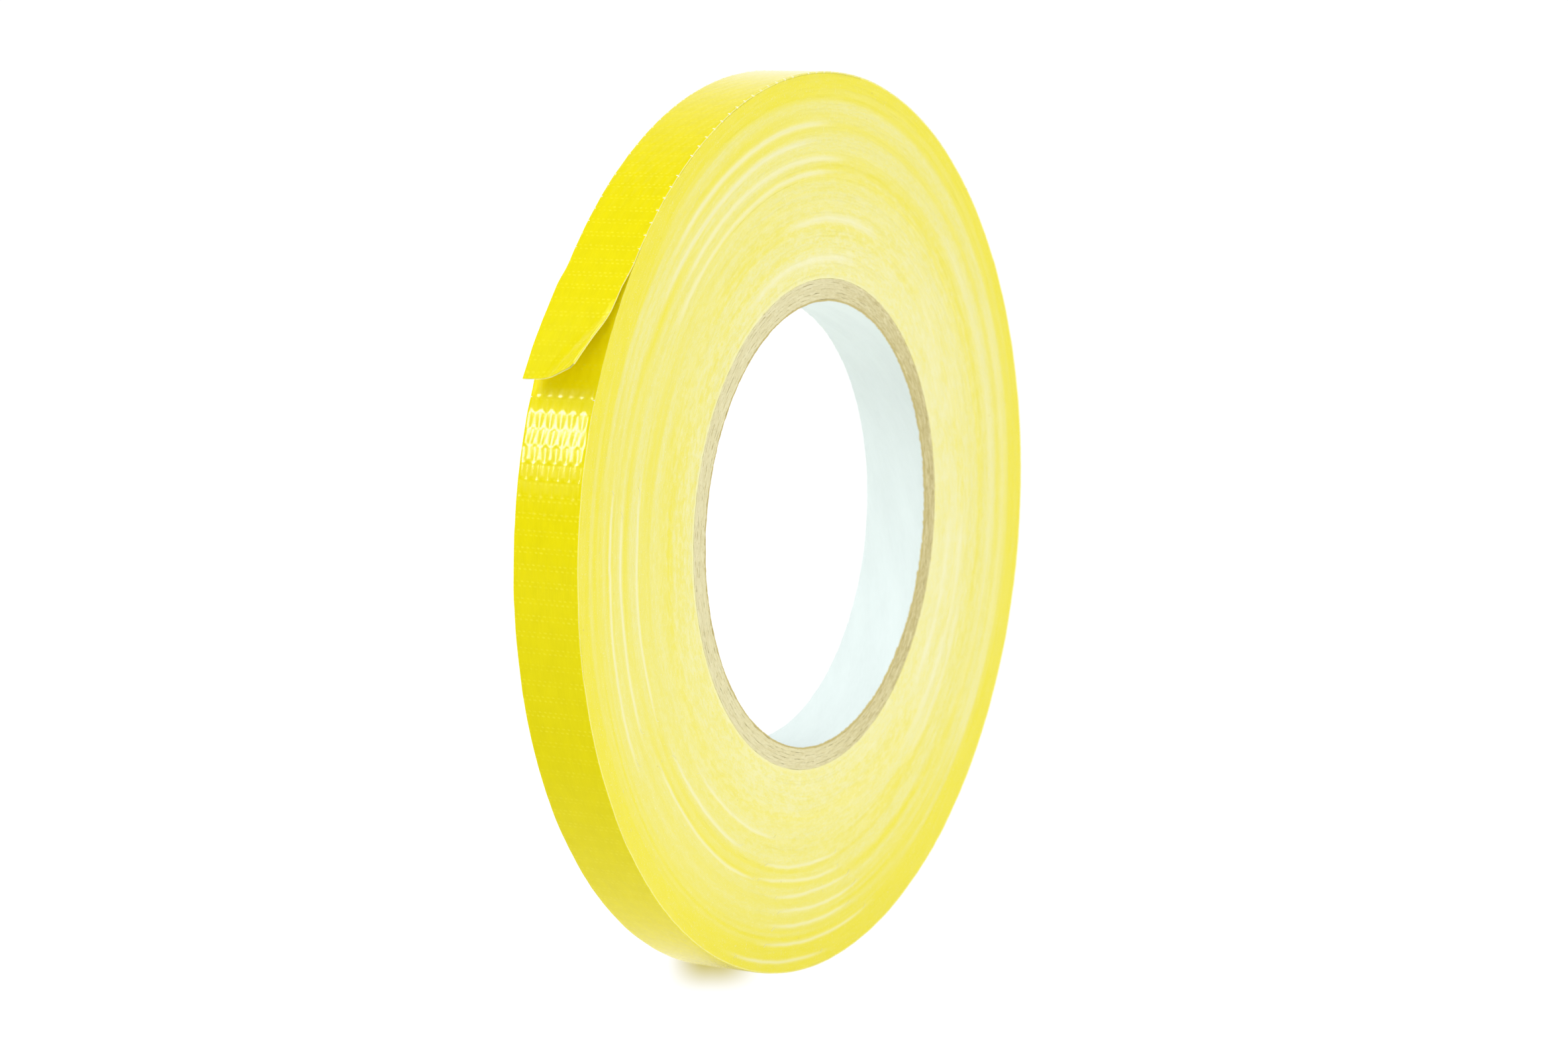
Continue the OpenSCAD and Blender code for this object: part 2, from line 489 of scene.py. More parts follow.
def remap(tree, value, low, high, to_low=0.0, to_high=1.0):
    """Takes the range from low to high to another one, and holds it there."""
    inputs = {"Value": value, "From Min": low, "From Max": high, "To Min": to_low, "To Max": to_high}
    return node(tree, "MapRange", inputs).outputs["Result"]


def math_node(tree, operation, first, second=0.0):
    return node(tree, "Math", {0: first, 1: second}, operation=operation).outputs[0]


def mix(tree, share, first, second):
    """Blends two colours."""
    return node(tree, "Mix", {0: share, 6: first, 7: second}, data_type="RGBA").outputs[2]


def tint(tree, color, value, low, high, share, paint):
    """Mixes a paint into a colour, from none of it where a value is low to a share where it is high."""
    return mix(tree, remap(tree, value, low, high, 0.0, share), color, linear(*paint))


def bump(tree, height, distance):
    """Normal of a surface with a height from 0 to 1, times a distance in millimetres."""
    inputs = {"Height": height, "Distance": distance * MM, "Strength": 1.0}
    return node(tree, "Bump", inputs).outputs["Normal"]


def finish_shader(tree, shader, color, roughness, normal, **values):
    """Feeds the main shader's inputs."""
    inputs = {"Base Color": color, "Roughness": roughness, "Normal": normal, **values}
    for key, value in inputs.items():
        feed(tree, shader.inputs[key.replace("_", " ")], value)


def film_material():
    """Glossy yellow film with warp lines and fine dimples. It is a little paler over the raised yarns,
    partly as painted highlight on their crests, and painted brighter below the loose end as painted light.
    """
    material, tree, shader = new_material("yellow_film")
    strip = attribute(tree, "strip", "Vector")
    relief = attribute(tree, "relief")
    mottle = noise(tree, strip, (0.3, 0.4, 1))
    lines = noise(tree, strip, (0.16, 4.6, 1), 2.0)
    dimples = noise(tree, strip, (5.0, 6.0, 1), 2.0)
    color = tint(tree, linear(218, 206, 1), mottle, 0.35, 0.65, 1.0, (222, 210, 2))
    color = tint(tree, color, lines, 0.5, 0.75, 0.5, (226, 216, 8))
    # Painted light: the film on the turn below the loose end is painted brighter
    color = mix(tree, component(tree, strip, "Z"), color, linear(238, 223, 0))
    # Paler on the dashes over the raised yarns: partly painted highlight where their crests catch light
    color = tint(tree, color, relief, 0.1, 0.9, 0.5, (238, 229, 60))
    color = tint(tree, color, relief, 1.2, 1.7, 1.0, (240, 231, 90))
    rough = remap(tree, relief, -0.25, -0.8, 0.15, 0.5)
    fine_height = math_node(tree, "MULTIPLY", dimples, 0.3)
    height = math_node(tree, "ADD", math_node(tree, "MULTIPLY", lines, 0.7), fine_height)
    finish_shader(tree, shader, color, rough, bump(tree, height, 0.006), Specular_IOR_Level=0.3)
    return material


def cloth_material():
    """Cotton yarns: yellowed by the film and the adhesive in the sheet, white at the loose weft ends."""
    material, tree, shader = new_material("cotton_cloth")
    strip = attribute(tree, "strip", "Vector")
    fibres = noise(tree, strip, (3.0, 14.0, 1))
    sheet = mix(tree, fibres, linear(226, 210, 50), linear(238, 225, 90))
    ends = mix(tree, fibres, linear(240, 234, 178), linear(249, 246, 215))
    relief = attribute(tree, "relief")
    color = mix(tree, remap(tree, relief, 1.4, 1.8), sheet, linear(246, 239, 150))
    color = mix(tree, remap(tree, relief, 1.85, 1.95), color, ends)
    finish_shader(tree, shader, color, 0.85, bump(tree, fibres, 0.03))
    return material


def adhesive_material():
    """Tacky rubber: pale yellow with the cloth's print and small glossy lumps."""
    material, tree, shader = new_material("tacky_adhesive")
    strip = attribute(tree, "strip", "Vector")
    relief = attribute(tree, "relief")
    lumps = noise(tree, strip, (1.6, 1.9, 1), 4.0)
    color = tint(tree, linear(234, 219, 70), lumps, 0.35, 0.65, 1.0, (240, 228, 96))
    color = tint(tree, color, relief, 0.1, 0.9, 0.6, (245, 237, 150))
    color = tint(tree, color, relief, 1.4, 1.8, 1.0, (246, 239, 120))
    rough = remap(tree, lumps, 0.3, 0.7, 0.30, 0.50)
    finish_shader(tree, shader, color, rough, bump(tree, lumps, 0.03))
    return material


def side_material():
    """Side face of the wound tape: zones of film yellow and pale cloth, streaks, grain and mottling."""
    material, tree, shader = new_material("wound_side")
    part = math_node(tree, "FRACT", attribute(tree, "turn"))
    off_middle = math_node(tree, "ABSOLUTE", math_node(tree, "SUBTRACT", part, 0.5))
    along = attribute(tree, "streak", "Vector")
    streaks = noise(tree, along, 1.0, 4.0, 0.6)
    stains = noise(tree, along, (0.42, 0.42, 0.34), 5.0, 0.7)
    gilding = noise(tree, along, 0.8, 4.0, 0.65)
    specks = noise(tree, position(tree), 3200, 2.0)
    dirt = noise(tree, position(tree), 900, 1.0)
    mottle = attribute(tree, "mottle")
    color = mix(tree, attribute(tree, "golden"), linear(238, 233, 150), linear(240, 229, 58))
    color = tint(tree, color, streaks, 0.42, 0.62, 0.4, (239, 228, 78))
    color = tint(tree, color, off_middle, 0.30, 0.45, 0.25, (228, 214, 64))
    golden_spots = math_node(tree, "MULTIPLY", remap(tree, gilding, 0.50, 0.64, 0.0, 0.40), mottle)
    color = mix(tree, golden_spots, color, linear(240, 226, 66))
    pale_spots = math_node(tree, "MULTIPLY", remap(tree, stains, 0.45, 0.63, 0.0, 0.55), mottle)
    color = mix(tree, pale_spots, color, linear(243, 240, 190))
    color = mix(tree, attribute(tree, "white"), color, linear(244, 242, 204))
    color = tint(tree, color, specks, 0.60, 0.72, 0.25, (248, 247, 220))
    color = tint(tree, color, dirt, 0.815, 0.84, 0.5, (205, 180, 90))
    finish_shader(tree, shader, color, 0.6, bump(tree, specks, 0.02))
    return material


def board_material():
    """Grey-beige core board: fibres along the wall, brown specks, and paler frays. Towards +X it is darker
    and
    browner: browner board under the frays, and painted shade.
    """
    material, tree, shader = new_material("core_board")
    wall = attribute(tree, "wall", "Vector")
    fibres = noise(tree, wall, (0.5, 4.0, 6.0), 5.0, 0.65)
    specks = noise(tree, wall, 2.4)
    x = component(tree, position(tree), "X")
    color = tint(tree, linear(212, 202, 152), fibres, 0.3, 0.7, 1.0, (234, 228, 188))
    # Darker and browner towards +X: browner board under the frays, and painted shade on that side
    browner_and_shaded = tint(tree, linear(178, 162, 98), fibres, 0.35, 0.65, 1.0, (226, 217, 168))
    color = mix(tree, remap(tree, x, -0.005, 0.035), color, browner_and_shaded)
    color = tint(tree, color, specks, 0.60, 0.75, 0.5, (176, 154, 86))
    finish_shader(tree, shader, color, 0.92, bump(tree, fibres, 0.05))
    return material


def liner_material():
    """Smooth greenish-white paper with faint fibres."""
    material, tree, shader = new_material("liner_paper")
    wall = attribute(tree, "wall", "Vector")
    fibres = noise(tree, wall, (0.9, 1.3, 2.0), 5.0, 0.6)
    cloudy = noise(tree, wall, (0.08, 0.16, 1.0), 2.0)
    color = tint(tree, linear(211, 222, 220), cloudy, 0.3, 0.7, 1.0, (217, 228, 226))
    color = tint(tree, color, fibres, 0.4, 0.75, 0.35, (224, 234, 233))
    ragged = noise(tree, wall, (1.1, 0.4, 0.4), 4.0, 0.65)
    torn = math_node(tree, "SUBTRACT", math_node(tree, "MULTIPLY", ragged, 0.9), component(tree, wall, "Y"))
    color = tint(tree, color, torn, HALF_WIDTH + 0.13, HALF_WIDTH + 0.24, 1.0, (196, 181, 118))
    finish_shader(tree, shader, color, 0.7, bump(tree, fibres, 0.02))
    return material


def fibre_material():
    """Loose cotton ends."""
    material, tree, shader = new_material("cotton_ends")
    clouds = noise(tree, position(tree), 400, 2.0)
    color = tint(tree, linear(240, 235, 170), clouds, 0.35, 0.65, 1.0, (246, 243, 205))
    grain = noise(tree, position(tree), 9000, 2.0)
    finish_shader(tree, shader, color, 0.8, bump(tree, grain, 0.003))
    return material


FLOOR_GLOW = 0.25  # light that the floor gives off, as a light table does
SEEN_GLOW = 1.2  # light that is seen from it, which leaves it white

# The roll's shadow on the floor, to the image's right and away from the camera: a direction, then the places
# along it in millimetres where the shadow begins, is full, is last full and ends
SHADOW = (
    ((math.cos(VIEW_AZIMUTH), math.sin(VIEW_AZIMUTH), 0), -23, -14.5, -12.5, -3),
    ((-math.sin(VIEW_AZIMUTH), math.cos(VIEW_AZIMUTH), 0), -28, 3, 4.3, 6),
)


def soft_step(tree, value, low, high):
    """1 past high and 0 before low, in the order in which they are given, with a soft change between."""
    inputs = {"Value": value, "From Min": low * MM, "From Max": high * MM}
    return node(tree, "MapRange", inputs, interpolation_type="SMOOTHSTEP").outputs["Result"]


def floor_shadow(tree):
    """Share of the shadow, tinted by the light off the roll, that lies beside its contact with the floor."""
    shadow = 1.0
    for axis, start, full, last, end in SHADOW:
        along = along_axis(tree, position(tree), axis)
        shadow = math_node(tree, "MULTIPLY", shadow, soft_step(tree, along, start, full))
        shadow = math_node(tree, "MULTIPLY", shadow, soft_step(tree, along, end, last))
    return shadow


def floor_material():
    """Plain white ground, lit from below like a light table, with a soft shadow beside the contact. For
    reflections and, a little, for bounced light it is painted darker towards -X: painted shade that the film
    mirrors there."""
    material, tree, shader = new_material("paper_ground")
    rays = node(tree, "LightPath").outputs
    grain = noise(tree, position(tree), 60)
    color = mix(tree, grain, linear(246, 246, 246), linear(249, 249, 249))
    # Painted shade: towards -X the floor is painted darker for reflections and, a little, for bounced light
    dim = remap(tree, component(tree, position(tree), "X"), -0.006, -0.10, 0.0, 0.92)
    bounced = math_node(tree, "MULTIPLY", rays["Is Diffuse Ray"], 0.2)
    dimmed = math_node(tree, "MAXIMUM", rays["Is Glossy Ray"], bounced)
    color = mix(tree, math_node(tree, "MULTIPLY", dim, dimmed), color, linear(30, 30, 30))
    watched = math_node(tree, "MAXIMUM", rays["Is Camera Ray"], rays["Is Glossy Ray"])
    shadow = math_node(tree, "MULTIPLY", floor_shadow(tree), watched)
    unlit = math_node(tree, "MAXIMUM", rays["Is Camera Ray"], shadow)
    glow = node(tree, "Mix", {0: rays["Is Camera Ray"], 2: FLOOR_GLOW, 3: SEEN_GLOW}).outputs[0]
    glow = node(tree, "Mix", {0: shadow, 2: glow, 3: 1.0}).outputs[0]
    emission = mix(tree, shadow, color, linear(200, 186, 72))
    color = mix(tree, unlit, color, (0, 0, 0, 1))
    finish_shader(tree, shader, color, 0.9, bump(tree, grain, 0.02), Specular_IOR_Level=0.0,
                  Emission_Color=emission, Emission_Strength=glow)
    return material


FILM, CLOTH, ADHESIVE = film_material(), cloth_material(), adhesive_material()
SIDE, BOARD, LINER, FIBRE = side_material(), board_material(), liner_material(), fibre_material()
LAYER_MATERIAL = {"film": FILM, "cloth": CLOTH, "adhesive": ADHESIVE}


# ------------ the tape's three layers

PLAIN_STEP = 0.6  # step across the outer face of a layer below the film


def across_values(step):
    """Places across the tape's width, closer together at the edges, from front to back."""
    inner = np.linspace(-HALF_WIDTH + 0.25, HALF_WIDTH - 0.25, round(2 * HALF_WIDTH / step))
    return np.concatenate([[-HALF_WIDTH, -HALF_WIDTH + 0.1], inner, [HALF_WIDTH - 0.1, HALF_WIDTH]])


def cut_shape(t, y):
    """How far the cut end departs from a square one: a slight slant, nicks, and a rounded front corner."""
    slant = 0.25 - 0.6 * (y + HALF_WIDTH) / (2 * HALF_WIDTH)
    corner = 0.5 * ease(1 - (y + HALF_WIDTH) / 0.9) ** 2
    nicks = 0.05 * noise_1d(y / 0.45, 44)
    return (slant + corner + nicks) * ease(1 - t / 4)


def edge_mark(t, y):
    """Raises the relief attribute on the sheet's cut edges, which the materials make paler."""
    return np.where((np.abs(y) > HALF_WIDTH - 0.05) | (t < 0.01), 1.8, 0.0)


def layer_sheet(layer, t, fine, coarse):
    """Closed sheet of one layer, as points, faces and the attributes its material reads."""
    outer, inner = DEPTHS[layer]
    top, under = across_values(fine), across_values(coarse)[::-1]
    y = np.concatenate([top, under])
    is_top = np.arange(len(y)) < len(top)
    grid = grid_t, grid_y = np.meshgrid(t, y, indexing="ij")
    raised = film_height(*grid) if layer == "film" else 0
    lowered = adhesive_height(*grid) if layer == "adhesive" else 0
    below = np.where(is_top, outer - raised, inner + lowered)
    proud = np.where(grid_y < 0, -edge_wander(grid_t, 0), edge_wander(grid_t, 1))
    proud = proud * (1 - edge_fade(grid_y, 1.0))
    below = below + sink(grid_t)
    points, faces = swept(place(grid_t + cut_shape(*grid), grid_y + proud, below)[None])
    if layer == "film":
        dashes = weave_dashes(*grid)
        valley = np.clip(1 - 1.2 * weave_relief(*grid), 0, 1) * np.clip(1 - 6 * dashes, 0, 1)
        # The dashes make the film's colour paler, partly as painted highlight on the crests
        relief = np.maximum(dashes + 1.6 * edge_bead(*grid) - valley, 0.8 * edge_mark(*grid))
    else:
        relief = np.maximum(weave_relief(*grid), edge_mark(*grid))
    # The strip's third value is the share of painted light on the turn below the loose end
    strip = np.stack([grid_t, grid_y, painted_light_under_end(grid_t)], axis=-1)
    return points, faces, strip.reshape(-1, 3), relief.ravel()


def weft_length(t):
    """Share of the full length of the weft ends: long over the top of the roll, and worn short elsewhere."""
    angle = CUT_ANGLE - t / OUTER_R
    return 0.12 + 0.88 * ease((np.sin(angle) - 0.5) / 0.25) * ease((t - 8) / 14)


def weft_ends(t_from, t_to, seed):
    """Cotton ends that stand out of the cloth's edges: a stub and two stray fibres at each weft yarn."""
    random = np.random.default_rng(seed)
    first = math.ceil((t_from - LOOSE_T) / WEFT - 0.45)
    last = math.floor((t_to - LOOSE_T) / WEFT - 0.55)
    rows = LOOSE_T + (np.arange(first, last + 1) + 0.5) * WEFT
    share = np.linspace(0, 1, 5)[None, :]
    full_length = weft_length(rows)
    full_thickness = 0.45 + 0.55 * full_length[:, None]
    paths, thickness = [], []
    for side in (-1, 1):
        for stub in (True, False, False):
            count = len(rows)
            start = rows + random.normal(0, 0.03 if stub else 0.14, count)
            lean = random.normal(0, 0.05 if stub else 0.2, count)
            length = random.uniform(0.07, 0.16, count) if stub else random.uniform(0.1, 0.4, count)
            rise = random.uniform(0.0, 0.05, count) if stub else random.uniform(-0.05, 0.2, count)
            along = start[:, None] + lean[:, None] * share ** 2
            length = length * full_length
            out = HALF_WIDTH - 0.3 + (0.3 + length[:, None]) * share
            below = sum(DEPTHS["cloth"]) / 2 - rise[:, None] * share ** 2
            paths.append(place(along, side * out, below))
            taper = 1 - 0.35 * share ** 4 if stub else 1 - 0.6 * share
            thickness.append((0.19 if stub else 0.03) * taper * full_thickness)
    return swept(tubes(np.concatenate(paths), np.concatenate(thickness), sides=6))


def make_layers(prefix, t_from, t_to, fine, coarse, nodes, seed, layers=LAYERS):
    """The tape's layers as separate pieces between two places on the strip. Fine is the step across the
    film's outer face, and coarse the one across a layer's inner face."""
    made = []
    for layer in layers:
        rows = strip_rows(t_from, t_to)
        if layer != "film":
            rows = np.append(rows[:-1:2], rows[-1])
        step = fine if layer == "film" else PLAIN_STEP
        points, faces, strip, relief = layer_sheet(layer, rows, step, coarse)
        if layer == "cloth":
            end_points, end_faces = weft_ends(t_from, t_to, seed)
            strip = np.concatenate([strip, end_points * 2])
            relief = np.concatenate([relief, np.full(len(end_points), 2.0)])
            points, faces = join([(points, faces), (end_points, end_faces)])
        piece = make_piece(prefix + "_" + layer, points, faces, LAYER_MATERIAL[layer], "tape_" + layer,
                           strip=strip, relief=relief)
        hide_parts(*[name + "_" + layer for name in nodes])
        made.append(piece)
    return made


def tangent_at(t):
    """Unit vector along the closed strip at t, towards the cut end."""
    angle = CUT_ANGLE - t / OUTER_R
    return np.array([-math.sin(angle), 0, math.cos(angle)])


def bend_at(pieces):
    for piece in pieces:
        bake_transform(piece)


def make_outer_turn():
    """The stuck part of the outermost turn, and the film of the turn under the part that peels."""
    pieces = make_layers("outer_turn", PEEL_T[0], FULL_TURN, 0.22, 11, ["outer_turn"], 50)
    pieces += make_layers("turn_below", FULL_TURN, FULL_TURN + PEEL_T[0], 0.22, 11, [], 55, layers=("film",))
    for piece in pieces:
        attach(piece, "roll")


def make_peel_stretches():
    """Four stretches behind the loose end, each from its own hinge line to the next one towards the cut."""
    ends = PEEL_T[1:] + [LOOSE_T]
    for k, name in enumerate(PEEL_JOINTS):
        prefix = f"peel_{k + 1}"
        pieces = make_layers(prefix, ends[k], PEEL_T[k], 0.2, 0.6, [prefix], 60 + k)
        bend_at(pieces)


def make_loose_end():
    """The lifted end: one length bends at its hinge line, and the tip bends across the corner's crease."""
    split = LOOSE_T - 2.5 * WEFT
    pieces = make_layers("loose_end", split, LOOSE_T, 0.2, 0.5, ["loose_end"], 71)
    bend_at(pieces)
    pieces = make_layers("tip", 0, split, 0.2, 0.5, ["corner"], 72)
    crease = np.array(JOINTS["corner_turn"]["axis"])
    centre = JOINT_AT["corner_turn"]
    forward = tangent_at(back_from_cut(centre))
    ahead = forward - crease * (forward @ crease)
    ahead /= np.linalg.norm(ahead)
    bend_at(pieces)


# ------------ the wound turns

STEPS = 360  # samples of the spiral in a turn
GROOVE = 0.035  # depth of the groove between two turns on the side faces
CREST = 0.45  # place of a turn's crest, as a share of the pitch
FILM_ROOM = 0.09  # room for the film of the turn below the part that peels


def side_edge(turned, seed):
    """How far a turn's edge stands proud of the nominal side face."""
    radius = OUTER_R - PITCH * turned / (2 * math.pi)
    along = turned * radius
    fine = 0.018 * noise_1d(along / 9, seed) + 0.016 * noise_1d(along / 2.6, seed + 1)
    groups = 0.03 * noise_1d(radius / 1.3 + 0.4 * np.sin(turned), seed + 2)
    return fine + groups


def ridge_lines(turned, crest_turned):
    """Lines (x, z) of the grooves and of the crests, kept off the core and off the film that covers them."""
    groove = np.stack(spiral(turned, 0), axis=-1)
    crest = np.stack(spiral(crest_turned, CREST * PITCH), axis=-1)
    covered = turned * OUTER_R < FULL_TURN + PEEL_T[0]
    room = np.where(covered, FILM_ROOM + sink(turned * OUTER_R), 0)
    groove *= 1 - room[:, None] / OUTER_R
    for line in (groove, crest):
        distance = np.linalg.norm(line, axis=1)
        line *= np.maximum(1, (CORE_R + 0.02) / distance)[:, None]
    return groove, crest


def ridge_look(line, turn):
    """Values along a groove or a crest that the side's material reads."""
    return {"turn": turn, "streak": streak_place(line, turn), "white": whiteness(line),
            "golden": golden_share(line), "mottle": mottle_share(line)}


def wound_part(name, first_turn, last_turn):
    """A range of turns as one closed spiral ring with a ridge for each turn on both side faces."""
    count = (last_turn - first_turn) * STEPS
    turned = 2 * math.pi * (1 + first_turn + np.arange(count + STEPS + 1) / STEPS)
    crest_turned = turned[: count + 1]
    groove, crest = ridge_lines(turned, crest_turned)
    points, looks = [], []
    for sign, seed in ((-1, 80), (1, 90)):
        edge = side_edge(turned, seed)
        lower_edge = np.minimum(edge, side_edge(turned - 2 * math.pi, seed))
        groove_y = sign * (HALF_WIDTH + lower_edge - GROOVE * ease(turned - 4 * math.pi))
        crest_y = sign * (HALF_WIDTH + edge[: count + 1])
        lines = ((groove, groove_y, turned, 0.0), (crest, crest_y, crest_turned, CREST))
        for line, y, angle, share in lines:
            points.append(np.stack([line[:, 0], y, line[:, 1]], axis=-1))
            looks.append(ridge_look(line, angle / (2 * math.pi) + share))
    values = {key: np.concatenate([look[key] for look in looks]) for key in looks[0]}
    points = np.concatenate(points)
    piece = make_piece(name, points, wound_faces(count), SIDE, "wound_tape", sharp=70, **values)
    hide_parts("wound_turns")
    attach(piece, "roll")


def wound_faces(count):
    """Faces of a closed spiral ring: two side faces, the outer and inner walls, and the two steps."""
    grooves, crests = count + STEPS + 1, count + 1
    front, back = 0, grooves + crests
    k = np.arange(count)
    wall = np.concatenate([np.arange(STEPS), count + np.arange(STEPS)])
    faces = []
    for start, flip in ((front, -1), (back, 1)):
        groove, crest = start, start + grooves
        outer = np.stack([groove + k, groove + k + 1, crest + k + 1, crest + k], axis=-1)
        inner = np.stack([crest + k, crest + k + 1, groove + k + 1 + STEPS, groove + k + STEPS], axis=-1)
        faces += [outer[:, ::flip], inner[:, ::flip]]
    walls = np.stack([front + wall, front + wall + 1, back + wall + 1, back + wall], axis=-1)
    walls[STEPS:] = walls[STEPS:, ::-1]
    f_crest, b_crest = front + grooves, back + grooves
    outer_step = [front, back, b_crest, back + STEPS, front + STEPS, f_crest]
    inner_step = [front + count, f_crest + count, front + count + STEPS,
                  back + count + STEPS, b_crest + count, back + count]
    return faces + [walls, np.array([outer_step, inner_step])]


def streak_place(line, turn):
    """Coordinates in which noise makes short streaks that run round the roll."""
    angle = np.arctan2(line[:, 1], line[:, 0])
    around = 48.0  # radius of the circle in noise that a turn is laid along
    return np.stack([np.cos(angle) * around, np.sin(angle) * around, turn * 0.8], axis=-1)


# Groups of pale arcs on the side faces, where cloth has pulled out between two turns: how many, first and
# last radius, width, and the middle and the length of the arc in degrees
ARC_GROUPS = (
    (4, 60, 68, 0.5, 115, 50),
    (2, 45, 52, 0.6, 95, 50),
    (2, 64, 69, 1.2, 0, 80),
    (7, 58, 74, 0.3, 268, 32),
    (3, 54, 62, 0.3, 240, 42),
    (3, 60, 67, 0.35, 185, 45),
    (3, 48, 56, 0.8, 330, 50),
)


def pale_arcs():
    """Radius, width, first and last angle of every arc, each a little off its even place in its group."""
    random = np.random.default_rng(300)
    arcs = []
    for count, first_r, last_r, width, middle, length in ARC_GROUPS:
        for arc_r in np.linspace(first_r, last_r, count) + random.normal(0, 0.4, count):
            centre = middle + random.normal(0, 6)
            half = length / 2 * random.uniform(0.7, 1.15)
            arcs.append((arc_r, width, centre - half, centre + half))
    return arcs


PALE_ARCS = pale_arcs()
THREAD_WIDTH = 0.35  # arcs no wider than this have a loose thread at each end


def golden_share(line):
    """Share of film yellow in the side face, in zones: more towards the rim, at -X and at the bottom."""
    radius = np.linalg.norm(line, axis=1)
    angle = np.arctan2(line[:, 1], line[:, 0])
    near_core = ease((64 - radius) / 18)
    base = 0.20 + 0.022 * (radius - 55) - (0.05 + 0.14 * near_core) * np.cos(angle)
    base = base + 0.30 * np.clip(-np.sin(angle) - 0.3, 0, 1)
    rim = ease((radius - 71.6 + 1.2 * np.cos(angle)) / 1.2)
    zones = noise_2d(radius / 1.7, 20 + 1.6 * np.sin(angle) + 1.1 * np.cos(angle), 105)
    fine_zones = noise_2d(radius / 0.6, 20 + 2.6 * np.sin(angle) + 2.1 * np.cos(angle), 108)
    return np.clip(base + 0.38 * rim + 0.45 * zones * (1 - rim) + 0.30 * fine_zones, 0, 1)


def whiteness(line):
    """Share of pale cloth and old adhesive in the side face's colour."""
    radius = np.linalg.norm(line, axis=1)
    angle = np.degrees(np.arctan2(line[:, 1], line[:, 0]))
    total = np.zeros(len(line))
    for arc_r, width, first, last in PALE_ARCS:
        off = (angle - (first + last) / 2 + 180) % 360 - 180
        along = ease(((last - first) / 2 + 4 - np.abs(off)) / 10)
        wobble = 0.22 * noise_1d(angle / 14 + arc_r, 101) + 0.06 * noise_1d(angle / 2 + arc_r, 102)
        total += 0.62 * min(1, 0.5 / width) * along * np.exp(-((radius - arc_r - wobble) / width) ** 2)
    edge_of_core = np.exp(-((radius - CORE_R) / 0.5) ** 2) * (0.5 - 0.5 * np.cos(np.radians(angle)))
    right = (0.5 + 0.5 * np.cos(np.radians(angle))) * ease((61 - radius) / 12)
    blotches = 0.6 + 0.4 * noise_2d(radius / 2.5, 40 + 9 * np.sin(np.radians(angle)), 106)
    return np.clip(total + 0.6 * edge_of_core + 0.38 * right * blotches, 0, 1)


def mottle_share(line):
    """How mottled the side face is: most near the core, and further out on the +X side."""
    radius = np.linalg.norm(line, axis=1)
    right = 0.5 + 0.5 * line[:, 0] / radius
    return np.clip(1.15 - (radius - CORE_R) / (13 + 16 * right), 0.12, 1)


# ------------ the core

def wall_place(radius, angle, y):
    return np.stack([radius * np.cos(angle), y, radius * np.sin(angle)], axis=-1)


CORE_EDGE = HALF_WIDTH - 0.03
SEAM_SLANT = math.radians(67)
LINER_SEAM, SEAM_STEP = 43, 137  # angle of the liner's seam, and from each seam to the next, in degrees


def wall_section(r_in, r_out):
    """Radius and y of points round a layer's wall: inner face, front edge, outer face, back edge."""
    inside = np.linspace(-CORE_EDGE + 0.5, CORE_EDGE - 0.5, 14)
    face_y = np.concatenate([[-CORE_EDGE + 0.1], inside, [CORE_EDGE - 0.1]])
    edge_r = r_in + np.array([0.02, 0.5, 0.98]) * (r_out - r_in)
    inner = [(r_in, y) for y in face_y[::-1]]
    front = [(r, -CORE_EDGE) for r in edge_r]
    outer = [(r_out, y) for y in face_y]
    back = [(r, CORE_EDGE) for r in edge_r[::-1]]
    return np.array(inner + front + outer + back)


def roughened(arc, radius, y, fray, seed):
    """Radius and y of a core layer after its two edges have frayed."""
    r_in, r_out = radius.min(), radius.max()
    side = np.sign(y)
    at_edge = ease((np.abs(y) - CORE_EDGE + 0.35) / 0.3)
    coarse = noise_2d(arc / 0.9, radius * 3 + side * 40, seed)
    fine = noise_2d(arc / 0.35, radius * 5 + side * 40, seed + 1)
    y = y + side * at_edge * fray * (coarse + 0.7 * fine)
    ragged = 0.05 * noise_2d(arc / 2.2, side * 30, seed + 2)
    ragged = ragged + 0.04 * noise_2d(arc / 0.5, side * 30, seed + 2)
    spread = 0.02 * (radius - (r_in + r_out) / 2) / ((r_out - r_in) / 2)
    return np.clip(radius + at_edge * (ragged + spread), r_in - 0.05, r_out + 0.05), y


def core_ring(name, cad_node, seam_angle, material, slot, fray, seed, gap_width=0.12):
    """One strip of the core wound round and butted, with a rough edge on both side faces."""
    r_in, r_out = radii(cad_node)
    gap = gap_width / 2 / r_in
    around = np.linspace(gap, 2 * math.pi - gap, 601)[:, None]
    radius, y = (np.tile(values, (len(around), 1)) for values in wall_section(r_in, r_out).T)
    arc = around * r_in + np.zeros_like(y)
    radius, y = roughened(arc, radius, y, fray, seed)
    angle = math.radians(seam_angle) + around + math.tan(SEAM_SLANT) * y / r_in
    points, faces = swept(wall_place(radius, angle, y)[None])
    faces = [group[:, ::-1] for group in faces]
    wall = np.stack([arc, y, radius], axis=-1).reshape(-1, 3)
    piece = make_piece(name, points, faces, material, slot, wall=wall)
    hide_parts(cad_node)
    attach(piece, "roll")


def make_core():
    core_ring("paper_liner", "core_liner", LINER_SEAM, LINER, "liner_paper", 0.04, 110, gap_width=0.03)
    for k, ply in enumerate(PLIES):
        name = ply.replace("core_", "board_")
        core_ring(name, ply, LINER_SEAM + SEAM_STEP * (k + 1), BOARD, "core_board", 0.07, 120 + 3 * k)


# ------------ loose fibres on the side faces

